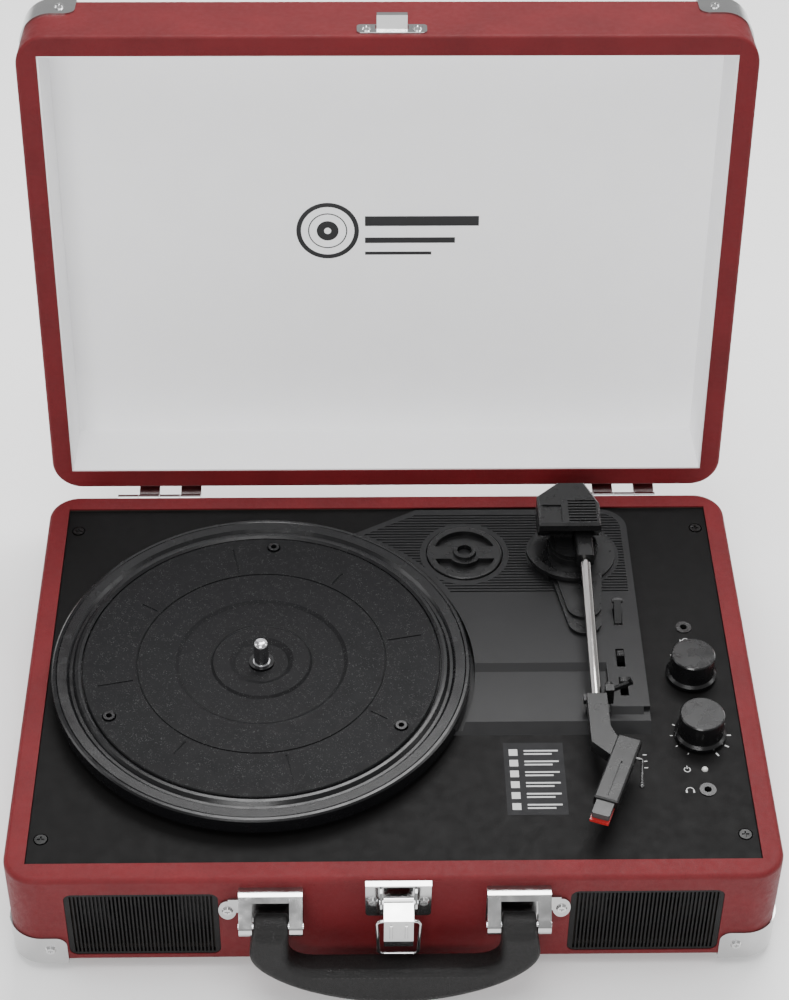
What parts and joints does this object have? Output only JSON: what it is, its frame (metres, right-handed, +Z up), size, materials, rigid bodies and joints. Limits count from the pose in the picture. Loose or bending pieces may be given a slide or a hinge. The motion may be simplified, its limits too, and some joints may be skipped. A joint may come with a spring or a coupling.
{
  "type": "suitcase record player",
  "caption": "Portable record player in a hinged suitcase with a carrying handle, latch, built-in speakers, belt-driven platter, swinging tonearm and rotary controls.",
  "frame": {"origin": "centre of the case's footprint, on the surface that its feet rest on", "axes": "+X to the right seen from the front (handle side), +Y to the back (hinge side), +Z up; lid open"},
  "size_m": [0.3538, 0.3657, 0.3208],
  "materials": {
    "case_board": "raw fibreboard",
    "bottom_board": "black painted hardboard",
    "red_leatherette": "fine-grained red leatherette",
    "feet_rubber": "moulded",
    "black_screws": "blackened",
    "deck_plastic": "fine matte texture",
    "chassis_plastic": "satin texture",
    "grille_plastic": "ribbed, matte",
    "speaker_steel": "pressed steel basket",
    "cone_paper": "pressed paper cone",
    "chrome": "bright plated",
    "steel": "turned",
    "black_leather": "padded and stitched",
    "white_liner": "smooth white lining",
    "platter_plastic": "satin black",
    "mat_rubber": "matte",
    "brass": "machined",
    "belt_rubber": "flat belt",
    "motor_steel": "plated can",
    "black_plastic": "fine satin",
    "arm_metal": "dark polished tube",
    "grey_plastic": "satin",
    "red_plastic": "clear red",
    "knob_plastic": "matte cap, glossy side",
    "board_green": "circuit board",
    "control_steel": "plated",
    "jack_plastic": "glossy black",
    "led_lens": "frosted",
    "jack_metal": "nickel plated"
  },
  "bodies": {
    "case": {"base_frame": "case_board", "base_leatherette": "red_leatherette", "bottom_board": "bottom_board", "rubber_feet": "feet_rubber", "foot_screws": "black_screws", "deck_plate": "deck_plastic", "deck_screws": "black_screws", "speaker_grille_left": "grille_plastic", "speaker_grille_right": "grille_plastic", "speaker_left": "speaker_steel", "speaker_right": "speaker_steel", "speaker_cones": "cone_paper", "base_corner_guards": "chrome", "base_trim_screws": "chrome", "latch_plate": "chrome", "hinge_base_leaves": "chrome", "pivot_pins": "steel", "handle_bracket_left": "chrome", "handle_bracket_right": "chrome", "mechanism_chassis": "chassis_plastic", "spindle_bush": "brass", "drive_belt": "belt_rubber", "motor": "motor_steel", "tonearm_base": "black_plastic", "arm_rest": "black_plastic", "control_board": "board_green", "rotary_controls": "control_steel", "audio_jacks": "jack_plastic", "power_led": "led_lens", "rear_jack_panel": "jack_plastic", "rear_jacks": "jack_metal"},
    "lid": {"lid_frame": "case_board", "lid_leatherette": "red_leatherette", "lid_liner": "white_liner", "lid_corner_guards": "chrome", "lid_trim_screws": "chrome", "lid_catch": "chrome", "hinge_lid_leaves": "chrome"},
    "handle_loop": {"handle": "black_leather"},
    "lever": {"latch_lever": "chrome"},
    "bail": {"latch_bail": "chrome"},
    "turning_platter": {"platter": "platter_plastic", "platter_mat": "mat_rubber", "spindle": "steel"},
    "pulley": {"motor_pulley": "brass"},
    "adapter": {"adapter_45": "black_plastic"},
    "turret": {"tonearm_turret": "black_plastic"},
    "tonearm": {"arm_root": "black_plastic", "arm_tube": "arm_metal", "headshell": "black_plastic", "cartridge": "grey_plastic", "stylus": "red_plastic", "finger_lift": "arm_metal"},
    "clip": {"arm_clip": "black_plastic"},
    "cue": {"cue_lever": "black_plastic"},
    "lift": {"cue_lift": "black_plastic"},
    "auto_stop": {"auto_stop_switch": "black_plastic"},
    "speed": {"speed_switch": "black_plastic"},
    "mode": {"mode_knob": "knob_plastic"},
    "volume": {"volume_knob": "knob_plastic"}
  },
  "joints": [
    {"name": "lid_hinge", "type": "hinge", "parent": "case", "child": "lid", "pos_m": [0, 0.1311, 0.057], "axis": [-1, 0, 0], "range_deg": [-97, 0]},
    {"name": "handle_swing", "type": "hinge", "parent": "case", "child": "handle_loop", "pos_m": [0, -0.138, 0.0435], "axis": [1, 0, 0], "range_deg": [-108, 0]},
    {"name": "latch_lever_hinge", "type": "hinge", "parent": "case", "child": "lever", "pos_m": [0, -0.134, 0.0545], "axis": [-1, 0, 0], "range_deg": [0, 90]},
    {"name": "latch_bail_hinge", "type": "hinge", "parent": "lever", "child": "bail", "pos_m": [0, -0.1392, 0.0478], "axis": [1, 0, 0], "range_deg": [-194, 0]},
    {"name": "platter_spin", "type": "hinge", "parent": "case", "child": "turning_platter", "pos_m": [-0.062, -0.002, 0.068], "axis": [0, 0, 1], "continuous": true},
    {"name": "pulley_spin", "type": "hinge", "parent": "case", "child": "pulley", "pos_m": [-0.09871, -0.05443, 0.066], "axis": [0, 0, 1], "continuous": true},
    {"name": "adapter_lift", "type": "slide", "parent": "case", "child": "adapter", "axis": [0, 0, 1], "range_m": [0, 0.02]},
    {"name": "arm_swing", "type": "hinge", "parent": "case", "child": "turret", "pos_m": [0.093, 0.076, 0.078], "axis": [0, 0, -1], "range_deg": [0, 44]},
    {"name": "arm_tilt", "type": "hinge", "parent": "turret", "child": "tonearm", "pos_m": [0.0976, 0.08, 0.082], "axis": [-1, 0, 0], "range_deg": [0, 8]},
    {"name": "arm_clip_hinge", "type": "hinge", "parent": "case", "child": "clip", "pos_m": [0.1026, -0.0285, 0.0784], "axis": [0, -1, 0], "range_deg": [0, 150]},
    {"name": "cue_lever_hinge", "type": "hinge", "parent": "case", "child": "cue", "pos_m": [0.1122, 0.03, 0.0658], "axis": [1, 0, 0], "range_deg": [0, 60]},
    {"name": "cue_lift_slide", "type": "slide", "parent": "case", "child": "lift", "axis": [0, 0, 1], "range_m": [0, 0.0025]},
    {"name": "auto_stop_slide", "type": "slide", "parent": "case", "child": "auto_stop", "axis": [0, -1, 0], "range_m": [0, 0.003]},
    {"name": "speed_slide", "type": "slide", "parent": "case", "child": "speed", "axis": [0, -1, 0], "range_m": [0, 0.005]},
    {"name": "mode_knob_turn", "type": "hinge", "parent": "case", "child": "mode", "pos_m": [0.1452, -0.003, 0.065], "axis": [0, 0, -1], "range_deg": [0, 60]},
    {"name": "volume_knob_turn", "type": "hinge", "parent": "case", "child": "volume", "pos_m": [0.1452, -0.042, 0.065], "axis": [0, 0, -1], "range_deg": [-150, 150]}
  ],
  "couplings": [
    {"joint": "pulley_spin", "follows": "platter_spin", "ratio": 7.5}
  ]
}
